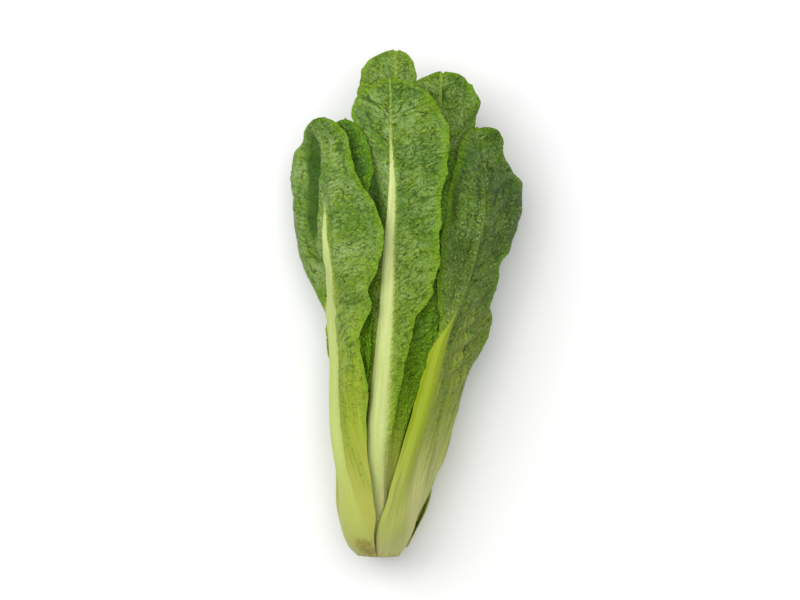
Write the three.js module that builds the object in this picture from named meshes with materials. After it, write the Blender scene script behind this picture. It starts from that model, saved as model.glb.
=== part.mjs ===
// Romaine lettuce head, about 29 cm long, lying on its side.
//
// Frame: millimetres, +Z up, the head lies along Y with its cut butt at -Y and its leaf tips at +Y.
// The origin is the middle of the footprint, on the surface that the head lies on.
//
// Every leaf is a thin blade with a thick rib, wrapped round the head. A point of a leaf is given by
//   y     its place along the head, from the butt's cut face,
//   turn  its angle round the head, in degrees: 0 at the right, 90 on top, 180 at the left, 270 underneath,
//   rise  its height over or under the head's own outline at that place.
// Leaves are stacked from the heart outwards: each one lies on its own shell of the head, and is
// lifted wherever a leaf or a rib beneath it needs the room, so no two leaves cross.
import * as THREE from "three";

// ---------------------------------------------------------------- driving dimensions
const HEAD_LENGTH = 288;
const ORIGIN_SHIFT = new THREE.Vector3(0, -HEAD_LENGTH / 2, 0);

const BLADE = 0.9; // blade thickness
const BLADE_AT_MARGIN = 0.65; // thickness along the margin, as a share of the blade's
const GAP_AT_BUTT = 0.95; // air between stacked leaves
const GAP_IN_BLADES = 1.8;
const SHELL_STEP = 0.18; // one shell of leaves to the next, as a share of the head's half height
const DEEPEST = 0.74; // how far in the deepest leaf may lie, as a share of the half height
const CUT_FACE_RADIUS = 9;
const CORE_LENGTH = 62;

// A leaf lies over the one beneath and comes down DRAPE_DROP past its margin, between these distances.
const DRAPE_BESIDE = [7, 24];
const DRAPE_BELOW = [6, 18]; // the same past its start, towards the butt
const DRAPE_DROP = 8;
const DRAPE_CORNER = 2; // roundness of the line where it comes to lie on the next one
const ROOM_OVER_RIB = [1.3, 2]; // a rib's width as the leaf above it sees it, at the butt and in the blades

// The head's outline along its length: [y, value], in millimetres.
const AXIS_X = [
  [0, -13.7], [20, -13.2], [36, -11.3], [60, -8.7], [90, -5], [118, -0.8], [150, 0.5], [175, -0.8],
  [200, 0], [240, -0.5], [300, 0],
];
const HALF_WIDTH = [
  [0, 10.5], [4, 13], [10.6, 16.5], [21.4, 22], [35.7, 28], [60, 35], [90, 40.5], [118, 44], [146, 46],
  [160, 49.5], [175, 55], [190, 58], [203, 59], [220, 57.5], [235, 56], [260, 56], [300, 56],
];
const HALF_HEIGHT_TOP = [
  [0, 10.5], [4, 12.5], [10.6, 15.5], [21.4, 20], [35.7, 24.3], [60, 30], [90, 34], [120, 37],
  [150, 39], [200, 41], [240, 38], [270, 34], [300, 29],
];
const HALF_HEIGHT_UNDER = [
  [0, 10.5], [4, 12], [10.6, 14.5], [21.4, 18], [35.7, 21.5], [60, 25], [90, 27], [120, 28.5],
  [150, 29.5], [200, 30.5], [240, 29], [270, 26], [300, 22],
];
const AXIS_Z = [
  [0, 24], [12, 25.5], [30, 26], [60, 26], [90, 26.6], [120, 27.7], [150, 29.8], [200, 31.4],
  [240, 30.5], [270, 29.2], [300, 27],
];
// How flat the under side is: 0 is an ellipse, 1 is flat beneath.
const FLATNESS_UNDER = [[0, 0.1], [40, 0.4], [90, 0.8], [150, 0.95], [300, 0.95]];

// A leaf's rib along its length: [share of the leaf's length, millimetres].
const RIB_HEIGHT = [
  [0, 0.4], [0.04, 0.9], [0.1, 2.2], [0.2, 4], [0.35, 4.2], [0.55, 3.2], [0.75, 1.9], [0.9, 0.9],
  [1, 0.3],
];
const RIB_HALF_WIDTH = [
  [0, 11], [0.1, 9.5], [0.2, 7.4], [0.35, 5.6], [0.55, 4.4], [0.7, 3.1], [0.85, 1.9], [1, 1],
];

// ---------------------------------------------------------------- leaves
// A leaf states its start and tip (from, to), where its tip begins to round (round), how square the
// tip is (square: left, right), its shell (0 outside, rising inwards), its rib's size (rib), and how far
// its margin stands off (lift) and waves (wave). turn is the angle of its rib; left and right are the
// degrees from the rib to each margin, as [y, degrees]. Left is the side of the larger angle.
const LEAVES = {
  heart_leaf_1: hiddenLeaf({ from: 44, to: 206, turn: [100, 95], half: 30, shell: 3.2, rib: 0.45, seed: 1 }),
  heart_leaf_2: hiddenLeaf({ from: 40, to: 222, turn: [275, 268], half: 33, shell: 2.9, rib: 0.5, seed: 2 }),
  inner_leaf_1: hiddenLeaf({ from: 32, to: 243, turn: [20, 28], half: 34, shell: 2.2, rib: 0.6, seed: 3 }),
  inner_leaf_2: hiddenLeaf({ from: 30, to: 246, turn: [150, 150], half: 36, shell: 2, rib: 0.6, seed: 4 }),
  inner_leaf_3: hiddenLeaf({ from: 28, to: 250, turn: [265, 262], half: 40, shell: 1.8, rib: 0.65, seed: 5 }),
  top_back_leaf: {
    from: 24, to: 288, round: 256, square: [2, 2.1], shell: 1.05, rib: 0.75, lift: 1.2, wave: 1.2, seed: 6,
    turn: [[0, 88], [60, 90], [150, 97], [220, 98], [288, 96]],
    left: [
      [0, 30], [60, 24], [120, 22], [180, 28], [230, 28], [251, 28], [266, 30], [276, 32.5], [288, 33],
    ],
    right: [[0, 24], [60, 22], [120, 20], [180, 26], [230, 20], [258, 15], [270, 16], [288, 21]],
  },
  right_back_leaf: {
    from: 20, to: 275.5, round: 246, square: [2.1, 2.3], shell: 0.8, rib: 0.8, lift: 1.6, wave: 1.4, seed: 7,
    turn: [[0, 40], [60, 52], [120, 64], [180, 68], [225, 66.5], [275.5, 66]],
    left: [[0, 24], [60, 20], [120, 20], [180, 28], [225, 29.5], [250, 29.5], [275.5, 29]],
    right: [[0, 34], [60, 24], [120, 24], [180, 31], [225, 32.5], [246, 34], [257, 31], [275.5, 31]],
  },
  side_leaf_left: hiddenLeaf({ from: 18, to: 238, turn: [196, 191], half: 36, shell: 1, rib: 0.8, seed: 8 }),
  side_leaf_right: hiddenLeaf({ from: 19, to: 236, turn: [2, 4], half: 34, shell: 0.9, rib: 0.8, seed: 19 }),
  under_leaf_left: hiddenLeaf({
    from: 21, to: 245, turn: [245, 238], half: [35, 32], shell: 1.1, rib: 0.8, seed: 9,
  }),
  under_leaf_right: hiddenLeaf({
    from: 20, to: 240, turn: [312, 308], half: 40, shell: 0.95, rib: 0.8, seed: 10,
  }),
  middle_leaf: {
    from: 15, to: 244, round: 215, square: [2.2, 2.2], shell: 0.45, rib: 0.8, lift: 0.8, wave: 0.7, seed: 11,
    turn: [[0, 92], [30, 98], [60, 98], [100, 96], [140, 90], [200, 86], [244, 85]],
    left: [[0, 26], [30, 18], [60, 14], [120, 18], [200, 24], [244, 22]],
    right: [
      [0, 26], [25, 19], [43, 17], [66, 19], [82, 22], [94, 24], [112, 27], [134, 31], [200, 33],
      [244, 28],
    ],
  },
  outer_leaf_under: hiddenLeaf({
    from: 4, to: 250, turn: [272, 270], half: 32, shell: 0, rib: 1.3, lift: 0, wave: 0, seed: 14,
  }),
  outer_leaf_left_under: hiddenLeaf({
    from: 6, to: 240, turn: [222, 232], half: [22, 42],
    shell: -0.2, rib: 0.95, lift: 0.2, wave: 0.3, seed: 12,
  }),
  outer_leaf_right_under: hiddenLeaf({
    from: 5, to: 234, turn: [320, 308], half: [38, 22],
    shell: -0.2, rib: 0.95, lift: 0.2, wave: 0.3, seed: 13,
  }),
  outer_leaf_right: {
    from: 0.6, to: 244, round: 231, square: [2.4, 2.2], shell: 0, rib: 1.05, lift: 1.6, wave: 3.2, seed: 15,
    turn: [
      [0, 77], [22, 77.5], [37, 76.5], [56, 72.7], [80, 68.7], [91, 67.7], [119, 64.8], [133, 58.5],
      [148, 50], [164, 44.5], [244, 44],
    ],
    left: [
      [0, 25], [8, 22], [20, 16.5], [31, 12], [46, 10], [60, 8.5], [74, 7.5], [88, 6.8], [102, 6.2],
      [118, 5.6], [125, 5.6], [133, 7], [140, 12], [148, 18], [156, 22], [165, 24], [180, 25],
      [200, 22.5], [210, 20], [222, 15.5], [231, 12.5], [244, 10],
    ],
    right: [
      [0, 40], [20, 44.5], [40, 52.5], [60, 64.7], [83, 64.7], [104, 54.8], [118, 60.8], [133, 55.5],
      [145, 38.7], [155, 37], [168, 28.4], [178, 40], [190, 50], [208, 50], [218, 39], [223, 30],
      [229, 24], [236, 23], [244, 25],
    ],
  },
  outer_leaf_top: {
    from: 7, to: 271, round: 240, square: [2, 2.25], shell: 0.02, rib: 1, lift: 2, wave: 1.6, seed: 16,
    turn: [
      [0, 102], [41, 102], [63, 104], [82, 105], [119, 107], [148, 105], [175, 100], [213, 98],
      [240, 98.5], [271, 99],
    ],
    left: [
      [0, 20], [40, 14], [60, 13], [90, 16], [120, 20], [150, 26], [180, 29], [205, 27], [225, 23],
      [243, 21.5], [254, 27], [262, 28], [271, 23],
    ],
    right: [
      [0, 20], [43, 12], [60, 12.5], [78, 14.5], [92, 16.5], [110, 19], [130, 21.5], [138, 23.5],
      [144, 28.5], [152, 31], [162, 30.5], [172, 28.5], [194, 26.2], [213, 27.5], [231, 30.2],
      [248, 31], [257, 31], [264, 30], [271, 26],
    ],
  },
  left_back_leaf: {
    from: 14, to: 249, round: 226, square: [2, 2], shell: 0.75, rib: 0.35, lift: 0.9, wave: 0.6, seed: 17,
    turn: [[0, 124], [60, 128], [249, 126]],
    left: [[0, 20], [60, 14], [120, 9], [165, 6], [200, 12], [249, 17]],
    right: [
      [0, 14], [60, 12], [120, 13], [180, 14], [200, 14], [208, 16], [214, 17.5], [222, 18.5],
      [231, 17], [249, 16],
    ],
  },
  outer_leaf_left: {
    from: 0.8, to: 249.5, round: 216, square: [2.3, 2.4], shell: 0, rib: 1.05, lift: 1.3, wave: 1.8, seed: 18,
    turn: [
      [0, 132], [16, 136], [34, 141], [51, 149], [72, 158], [90, 162], [105, 164.5], [120, 167],
      [136, 167], [147, 163], [156, 156], [165, 147], [175, 139.5], [187, 137.5], [198, 137],
      [212, 138], [225, 139], [250, 138],
    ],
    left: [
      [0, 40], [20, 39], [36, 36], [51, 30], [63, 24], [79, 18.5], [91, 15], [105, 12], [117, 9.5],
      [128, 8], [140, 7.5], [150, 15], [160, 33], [175, 48.5], [190, 54], [203, 55], [225, 49],
      [250, 41],
    ],
    right: [
      [0, 29], [11, 34.5], [23, 41], [35, 41.5], [51, 42.5], [63, 46], [79, 50.5], [91, 51.5],
      [105, 49.5], [117, 46.5], [128, 49], [140, 53.5], [147, 50.5], [154, 46], [160, 44.5],
      [170, 41.5], [180, 40], [190, 37], [200, 33], [210, 27.5], [220, 24.5], [235, 23], [250, 24],
    ],
  },
};

// The top leaf's rib passes under the right leaf's at the butt and over its blade further up.
const ORDER_IN_BLADES = Object.keys(LEAVES);
const ORDER_AT_BUTT = moved(ORDER_IN_BLADES, "outer_leaf_right", "left_back_leaf");
const ORDER_CHANGE = [45, 75];

const COLOURS = { outer: 0x5f8a2c, inner: 0x8fae45, core: 0xd3cfa0 };

// A leaf that is mostly hidden: its outline follows the shape that the whole head's leaves share.
function hiddenLeaf({ from, to, turn, half, shell, rib, seed, lift = 1, wave = 0.8 }) {
  const outline = [[0, 0.3], [0.2, 0.3], [0.38, 0.4], [0.52, 0.6], [0.66, 0.85], [0.8, 1], [1, 1]];
  const halves = outline.map(([share, width]) => {
    const y = from + share * (to - from);
    return [y, THREE.MathUtils.radToDeg(width / arcRadius(y, -shell * SHELL_STEP))];
  });
  const side = (millimetres) => halves.map(([y, degrees]) => [y, degrees * millimetres]);
  return {
    from, to, round: from + 0.8 * (to - from), square: [2.1, 2.1], shell, rib, lift, wave, seed,
    turn: [[from, turn[0]], [to, turn[1]]], left: side(half[0] ?? half), right: side(half[1] ?? half),
  };
}

// ---------------------------------------------------------------- small helpers
// A smooth curve through [x, value] stations, level beyond its ends.
function through(stations, x) {
  const last = stations.length - 1;
  if (x <= stations[0][0]) return stations[0][1];
  if (x >= stations[last][0]) return stations[last][1];
  let i = 0;
  while (x > stations[i + 1][0]) i += 1;
  const slope = (k) => {
    const before = stations[Math.max(k - 1, 0)];
    const after = stations[Math.min(k + 1, last)];
    return (after[1] - before[1]) / (after[0] - before[0]);
  };
  const [[x0, v0], [x1, v1]] = [stations[i], stations[i + 1]];
  const span = x1 - x0;
  const s = (x - x0) / span;
  return (
    v0 * (1 + 2 * s) * (1 - s) ** 2 + slope(i) * span * s * (1 - s) ** 2 +
    v1 * s * s * (3 - 2 * s) + slope(i + 1) * span * s * s * (s - 1)
  );
}

// The larger of two values, with a round corner of that size.
function softMax(a, b, corner) {
  const near = Math.max(corner - Math.abs(a - b), 0) / corner;
  return Math.max(a, b) + (near * near * corner) / 4;
}

function moved(names, name, after) {
  const rest = names.filter((n) => n !== name);
  rest.splice(rest.indexOf(after) + 1, 0, name);
  return rest;
}

// The head's mean radius at y, with the half height changed by that share of itself.
function arcRadius(y, share) {
  const height = (through(HALF_HEIGHT_TOP, y) + through(HALF_HEIGHT_UNDER, y)) / 2;
  return (through(HALF_WIDTH, y) + height) / 2 + share * height;
}

// ---------------------------------------------------------------- the head's shells
// The point at y, turn and rise.
function pointAt(y, turn, rise) {
  const t = THREE.MathUtils.degToRad(turn);
  const halfWidth = through(HALF_WIDTH, y);
  const up = Math.sin(t) >= 0;
  const halfHeight = through(up ? HALF_HEIGHT_TOP : HALF_HEIGHT_UNDER, y);
  const height = Math.sin(t) * (up ? 1 : 1 + through(FLATNESS_UNDER, y) * (1 + Math.sin(t)));
  const sideways = 1 + 0.5 * (halfWidth / through(HALF_HEIGHT_TOP, y) - 1);
  return new THREE.Vector3(
    through(AXIS_X, y) + (halfWidth + sideways * rise) * Math.cos(t),
    y,
    through(AXIS_Z, y) + (halfHeight + rise) * height,
  );
}

function coreRadius(y) {
  return through([[0, CUT_FACE_RADIUS], [8, 8], [18, 6.5], [40, 4.2], [56, 2.6], [CORE_LENGTH, 1]], y);
}

// The lowest rise that clears the stem's core and keeps the shells open.
function lowestRise(y) {
  const under = through(HALF_HEIGHT_UNDER, y);
  const overCore = coreRadius(y) + 0.8 - under;
  return y < CORE_LENGTH ? Math.max(overCore, -DEEPEST * under) : -DEEPEST * under;
}

// ---------------------------------------------------------------- one leaf's own shape
function shareAlong(leaf, y) {
  return THREE.MathUtils.clamp((y - leaf.from) / (leaf.to - leaf.from), 0, 1);
}

function sideOf(leaf, turnFromRib) {
  if (turnFromRib > 0) return { half: leaf.left, square: leaf.square[0], phase: 0 };
  return { half: leaf.right, square: leaf.square[1], phase: 2.1 };
}

// Degrees from the rib to the margin before the tip's rounding, with its small lobes.
function halfTurn(leaf, side, y) {
  const wide = 0.02 * Math.sin(y / 8 + leaf.seed * 1.7 + side.phase);
  const narrow = 0.012 * Math.sin(y / 3.7 + leaf.seed + side.phase);
  return through(side.half, y) * (1 + wide + narrow);
}

function tipShare(leaf, y) {
  return Math.max((y - leaf.round) / (leaf.to - leaf.round), 0);
}

// The radius that turns a leaf's degrees into millimetres along its blade.
function leafRadius(leaf, y) {
  return arcRadius(y, -leaf.shell * SHELL_STEP);
}

function ribHalfWidth(leaf, y) {
  return through(RIB_HALF_WIDTH, shareAlong(leaf, y)) * (0.4 + 0.6 * leaf.rib);
}

// Millimetres past the margin (negative inside), along the blade.
function pastMargin(leaf, y, turnFromRib) {
  const side = sideOf(leaf, turnFromRib);
  const half = halfTurn(leaf, side, y);
  const across = (Math.abs(turnFromRib) / half) ** side.square;
  const reach = (across + tipShare(leaf, y) ** side.square) ** (1 / side.square);
  return (reach - 1) * THREE.MathUtils.degToRad(half) * leafRadius(leaf, y);
}

// 1 over the leaf, falling to 0 a little way off it.
function footprint(leaf, y, turnFromRib) {
  const beside = THREE.MathUtils.smoothstep(pastMargin(leaf, y, turnFromRib), ...DRAPE_BESIDE);
  const below = THREE.MathUtils.smoothstep(leaf.from - y, ...DRAPE_BELOW);
  return (1 - beside) * (1 - below);
}

function ribProfile(leaf, y, turnFromRib, spread) {
  const off = Math.abs(THREE.MathUtils.degToRad(turnFromRib)) * leafRadius(leaf, y);
  const across = off / (ribHalfWidth(leaf, y) * spread);
  if (across >= 1) return 0;
  return through(RIB_HEIGHT, shareAlong(leaf, y)) * leaf.rib * (1 - across * across) ** 1.5;
}

// How far the margin stands off the shell, in waves.
function marginLift(leaf, y, turnFromRib) {
  const side = sideOf(leaf, turnFromRib);
  const toMargin = Math.abs(turnFromRib) / halfTurn(leaf, side, y);
  const atMargin = THREE.MathUtils.smoothstep(toMargin, 0.45, 1);
  const atTip = 0.8 * THREE.MathUtils.smoothstep(tipShare(leaf, y), 0.3, 1);
  const up = THREE.MathUtils.smoothstep(shareAlong(leaf, y), 0.3, 0.6)
    * THREE.MathUtils.smoothstep(halfTurn(leaf, side, y), 6, 12);
  const wide = Math.sin(y / 7.5 + leaf.seed * 2.3 + side.phase);
  const narrow = Math.sin(y / 4.1 + leaf.seed + side.phase);
  return Math.max(atMargin, atTip) * up * (leaf.lift + leaf.wave * (0.5 + 0.3 * wide + 0.2 * narrow));
}

function turnFromRib(leaf, y, turn) {
  return THREE.MathUtils.euclideanModulo(turn - through(leaf.turn, y) + 180, 360) - 180;
}

// ---------------------------------------------------------------- the stack
// The rise of every leaf's inner face at one place, stacked in one order from the heart outwards.
function stacked(order, y, turn) {
  const gap = THREE.MathUtils.lerp(GAP_AT_BUTT, GAP_IN_BLADES, THREE.MathUtils.smoothstep(y, 30, 120));
  const place = order.map((name) => {
    const leaf = LEAVES[name];
    const off = turnFromRib(leaf, y, turn);
    return { name, leaf, off, over: footprint(leaf, y, off) };
  });
  const outerRib = BLADE + through(RIB_HEIGHT, y / HEAD_LENGTH);
  const step = SHELL_STEP * through(HALF_HEIGHT_TOP, y);
  const room = THREE.MathUtils.lerp(...ROOM_OVER_RIB, THREE.MathUtils.smoothstep(y, 30, 90));
  const rises = {};
  place.forEach(({ name, leaf, off }, i) => {
    let rise = softMax(-outerRib - leaf.shell * step, lowestRise(y), 1);
    for (const below of place.slice(0, i)) {
      if (below.over <= 0) continue;
      const top = rises[below.name] + BLADE + ribProfile(below.leaf, y, below.off, room) + gap;
      rise = softMax(rise, top - DRAPE_DROP * (1 - below.over), DRAPE_CORNER);
    }
    const covered = Math.max(0, ...place.slice(i + 1).map((above) => above.over));
    rises[name] = rise + (1 - covered) * marginLift(leaf, y, off);
  });
  return rises;
}

function riseOf(name, y, turn) {
  const change = THREE.MathUtils.smoothstep(y, ...ORDER_CHANGE);
  const low = change < 1 ? stacked(ORDER_AT_BUTT, y, turn)[name] : 0;
  const high = change > 0 ? stacked(ORDER_IN_BLADES, y, turn)[name] : 0;
  return low * (1 - change) + high * change;
}

// ---------------------------------------------------------------- solids
// Rows run along the leaf, close together where the tip rounds.
function rowPlaces(leaf, rows) {
  const tipRows = Math.round(rows * 0.24);
  const places = [];
  for (let i = 0; i <= rows - tipRows; i += 1) {
    const share = i / (rows - tipRows);
    places.push(leaf.from + (leaf.round - leaf.from) * (0.35 * share * share + 0.65 * share));
  }
  for (let i = 1; i <= tipRows; i += 1) {
    places.push(leaf.round + (leaf.to - leaf.round) * Math.sin((i / tipRows) * 1.45));
  }
  return places;
}

// Shares of the way from rib to margin, with the rib's own width followed near the rib.
function columnShares(leaf, y, side, columns) {
  const blade = THREE.MathUtils.degToRad(halfTurn(leaf, side, y)) * leafRadius(leaf, y);
  const ribShare = Math.min(0.5, ribHalfWidth(leaf, y) / blade);
  const shares = columns > 5 ? [0.4 * ribShare, 0.72 * ribShare, ribShare] : [0.5 * ribShare, ribShare];
  const beyond = columns - shares.length;
  for (let i = 1; i <= beyond; i += 1) shares.push(ribShare + ((1 - ribShare) * i) / beyond);
  return shares;
}

function rowTurns(leaf, y, columns) {
  const rounding = (side) => Math.max(1 - tipShare(leaf, y) ** side.square, 0) ** (1 / side.square);
  const turns = (sign) => {
    const side = sideOf(leaf, sign);
    const half = halfTurn(leaf, side, y) * rounding(side);
    return columnShares(leaf, y, side, columns).map((share) => sign * half * share);
  };
  return [...turns(-1).reverse(), 0, ...turns(1)].map((off) => ({ off, turn: off + through(leaf.turn, y) }));
}

// One closed leaf: an outer face, an inner face and the rim between them.
function leafGeometry(name, rows, columns) {
  const leaf = LEAVES[name];
  const across = 2 * columns + 1;
  const outer = [];
  const inner = [];
  for (const y of rowPlaces(leaf, rows)) {
    rowTurns(leaf, y, columns).forEach(({ off, turn }, i) => {
      const rise = riseOf(name, y, turn);
      const margin = i === 0 || i === across - 1 ? BLADE_AT_MARGIN : 1;
      const bottom = pointAt(y, turn, rise);
      const top = pointAt(y, turn, rise + BLADE * margin + ribProfile(leaf, y, off, 1));
      top.z = Math.max(top.z, 0);
      bottom.z = Math.max(bottom.z, BLADE);
      inner.push(bottom);
      outer.push(top);
    });
  }
  const count = outer.length;
  const index = [];
  const quad = (a, b, c, d) => index.push(a, b, d, b, c, d);
  for (let r = 0; r < rows; r += 1) {
    for (let c = 0; c < across - 1; c += 1) {
      const a = r * across + c;
      quad(a, a + across, a + across + 1, a + 1);
      quad(count + a, count + a + 1, count + a + across + 1, count + a + across);
    }
    const left = r * across;
    const right = left + across - 1;
    quad(left, count + left, count + left + across, left + across);
    quad(right, right + across, count + right + across, count + right);
  }
  for (let c = 0; c < across - 1; c += 1) {
    const end = rows * across + c;
    quad(c, c + 1, count + c + 1, count + c);
    quad(end, count + end, count + end + 1, end + 1);
  }
  const geometry = new THREE.BufferGeometry().setFromPoints([...outer, ...inner]);
  return geometry.setIndex(index);
}

// The short stem inside the butt: its cut face, and the taper that the leaves grow from.
function coreGeometry() {
  const profile = [new THREE.Vector2(0, 0)];
  for (const y of [0, 8, 18, 30, 40, 48, 56, CORE_LENGTH]) profile.push(new THREE.Vector2(coreRadius(y), y));
  profile.push(new THREE.Vector2(0, CORE_LENGTH));
  const geometry = new THREE.LatheGeometry(profile, 20);
  const point = geometry.attributes.position;
  for (let i = 0; i < point.count; i += 1) {
    const y = point.getY(i);
    point.setXYZ(i, point.getX(i) + through(AXIS_X, y), y, point.getZ(i) + through(AXIS_Z, y));
  }
  return geometry;
}

function mesh(name, geometry, colour) {
  const material = new THREE.MeshStandardMaterial({ color: colour, roughness: 0.5, metalness: 0 });
  const made = new THREE.Mesh(geometry, material);
  made.name = name;
  return made;
}

// ---------------------------------------------------------------- the head
const head = new THREE.Group();
const OPEN_TO_VIEW = ["outer_leaf_left", "outer_leaf_top", "outer_leaf_right"];
const PARTLY_SEEN = [
  "outer_leaf_under", "outer_leaf_left_under", "outer_leaf_right_under", "middle_leaf", "left_back_leaf",
];

// Rows and columns that a leaf's faces are divided in.
function divisions(name) {
  if (OPEN_TO_VIEW.includes(name)) return [25, 7];
  return PARTLY_SEEN.includes(name) ? [18, 7] : [14, 5];
}

for (const [name, leaf] of Object.entries(LEAVES)) {
  const colour = leaf.shell < 1.5 ? COLOURS.outer : COLOURS.inner;
  head.add(mesh(name, leafGeometry(name, ...divisions(name)), colour));
}
head.add(mesh("stem_core", coreGeometry(), COLOURS.core));
head.position.copy(ORIGIN_SHIFT);

export default head;
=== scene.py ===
"""A romaine lettuce head on its side: wrinkled leaves with pale ribs, laid over each other round a stem."""

from functools import partial

import bpy
import numpy as np
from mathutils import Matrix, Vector


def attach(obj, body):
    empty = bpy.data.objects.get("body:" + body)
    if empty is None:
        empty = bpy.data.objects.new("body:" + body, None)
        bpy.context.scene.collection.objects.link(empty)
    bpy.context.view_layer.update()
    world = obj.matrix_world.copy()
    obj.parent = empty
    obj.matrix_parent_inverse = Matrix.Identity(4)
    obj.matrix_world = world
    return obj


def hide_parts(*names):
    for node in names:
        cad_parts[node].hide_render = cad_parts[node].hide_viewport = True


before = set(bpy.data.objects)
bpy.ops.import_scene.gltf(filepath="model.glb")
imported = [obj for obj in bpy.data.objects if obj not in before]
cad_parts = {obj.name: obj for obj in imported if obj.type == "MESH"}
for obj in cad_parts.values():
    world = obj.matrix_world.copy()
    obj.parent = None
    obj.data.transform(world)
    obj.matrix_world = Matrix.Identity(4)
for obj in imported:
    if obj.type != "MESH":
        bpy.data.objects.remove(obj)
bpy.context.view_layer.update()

# ------------------------------------------------------------------ the head's outline, in millimetres
# The head lies along Y. y runs from the butt's cut face; turn is the angle round the head, in degrees:
# 0 at the right side, 90 on top, 180 at the left, 270 underneath; rise is the height over the head's outline.
HEAD_LENGTH = 288
BLADE_ROOM = 0.9  # kept for the thickness of each blade
GAP_AT_BUTT = 0.95  # from a leaf to the one outside it, at the butt
GAP_IN_BLADES = 1.8
GAP_GROWS = (30, 120)  # the places between which the gap widens
SHELL_STEP = 0.18  # from one shell of leaves to the next, as a share of the head's half height
DEEPEST = 0.74  # how deep in the head leaves reach, as a share of its half height
SINK = 8  # how far a leaf settles beyond the edge of the one below it
CUT_FACE_RADIUS = 9
CORE_LENGTH = 62
CORE_CLEARANCE = 0.8  # between the stem and a leaf that lies on it

# Each table holds [place along the head, value] stations; the rib's hold [share of the leaf's length, value].
AXIS_X = [[0, -13.7], [20, -13.2], [36, -11.3], [60, -8.7], [90, -5], [118, -0.8], [150, 0.5], [175, -0.8],
          [200, 0], [240, -0.5], [300, 0]]
AXIS_Z = [[0, 24], [12, 25.5], [30, 26], [60, 26], [90, 26.6], [120, 27.7], [150, 29.8], [200, 31.4],
          [240, 30.5], [270, 29.2], [300, 27]]
HALF_WIDTH = [[0, 10.5], [4, 13], [10.6, 16.5], [21.4, 22], [35.7, 28], [60, 35], [90, 40.5], [118, 44],
              [146, 46], [160, 49.5], [175, 55], [190, 58], [203, 59], [220, 57.5], [235, 56], [260, 56],
              [300, 56]]
HALF_HEIGHT_TOP = [[0, 10.5], [4, 12.5], [10.6, 15.5], [21.4, 20], [35.7, 24.3], [60, 30], [90, 34],
                   [120, 37], [150, 39], [200, 41], [240, 38], [270, 34], [300, 29]]
HALF_HEIGHT_UNDER = [[0, 10.5], [4, 12], [10.6, 14.5], [21.4, 18], [35.7, 21.5], [60, 25], [90, 27],
                     [120, 28.5], [150, 29.5], [200, 30.5], [240, 29], [270, 26], [300, 22]]
FLATNESS_UNDER = [[0, 0.1], [40, 0.4], [90, 0.8], [150, 0.95], [300, 0.95]]
RIB_HEIGHT = [[0, 0.4], [0.04, 0.9], [0.1, 2.2], [0.2, 4], [0.35, 4.2], [0.55, 3.2], [0.75, 1.9],
              [0.9, 0.9], [1, 0.3]]
RIB_HALF_WIDTH = [[0, 11], [0.1, 9.5], [0.2, 7.4], [0.35, 5.6], [0.55, 4.4], [0.7, 3.1], [0.85, 1.9], [1, 1]]
CORE_RADIUS = [[0, CUT_FACE_RADIUS], [8, 8], [18, 6.5], [40, 4.2], [56, 2.6], [CORE_LENGTH, 1]]


def through(stations, x):
    """A smooth curve through [x, value] stations, level beyond its ends."""
    xs, values = np.array(stations, float).T
    x = np.clip(x, xs[0], xs[-1])
    i = np.clip(np.searchsorted(xs, x) - 1, 0, len(xs) - 2)
    before, after = np.maximum(np.arange(len(xs)) - 1, 0), np.minimum(np.arange(len(xs)) + 1, len(xs) - 1)
    slope = (values[after] - values[before]) / (xs[after] - xs[before])
    span = xs[i + 1] - xs[i]
    s = (x - xs[i]) / span
    return (values[i] * (1 + 2 * s) * (1 - s) ** 2 + slope[i] * span * s * (1 - s) ** 2
            + values[i + 1] * s * s * (3 - 2 * s) + slope[i + 1] * span * s * s * (s - 1))


def smooth(x, low, high):
    """0 below low, 1 above high, and a soft step between them."""
    s = np.clip((x - low) / (high - low), 0, 1)
    return s * s * (3 - 2 * s)


def soft_max(a, b, corner):
    """The larger of two values, with the corner between them rounded."""
    near = np.maximum(corner - np.abs(a - b), 0) / corner
    return np.maximum(a, b) + near * near * corner / 4


def arc_radius(y, share):
    """The head's mean radius at a place, with a share of its half height added."""
    height = (through(HALF_HEIGHT_TOP, y) + through(HALF_HEIGHT_UNDER, y)) / 2
    return (through(HALF_WIDTH, y) + height) / 2 + share * height


# ------------------------------------------------------------------ leaves
def hidden_leaf(begin, to, turn, half, shell, rib, seed, lift=1, wave=0.8):
    """A leaf that others hide: half is its half width in millimetres, or its left and right one."""
    outline = [[0, 0.3], [0.2, 0.3], [0.38, 0.4], [0.52, 0.6], [0.66, 0.85], [0.8, 1], [1, 1]]
    left, right = half if isinstance(half, tuple) else (half, half)
    places = [(begin + share * (to - begin), width) for share, width in outline]
    degrees = [[y, float(np.degrees(width / arc_radius(y, -shell * SHELL_STEP)))] for y, width in places]
    return dict(begin=begin, to=to, round=begin + 0.8 * (to - begin), square=(2.1, 2.1), shell=shell, rib=rib,
                lift=lift, wave=wave, seed=seed, turn=[[begin, turn[0]], [to, turn[1]]],
                left=[[y, d * left] for y, d in degrees], right=[[y, d * right] for y, d in degrees])


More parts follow.
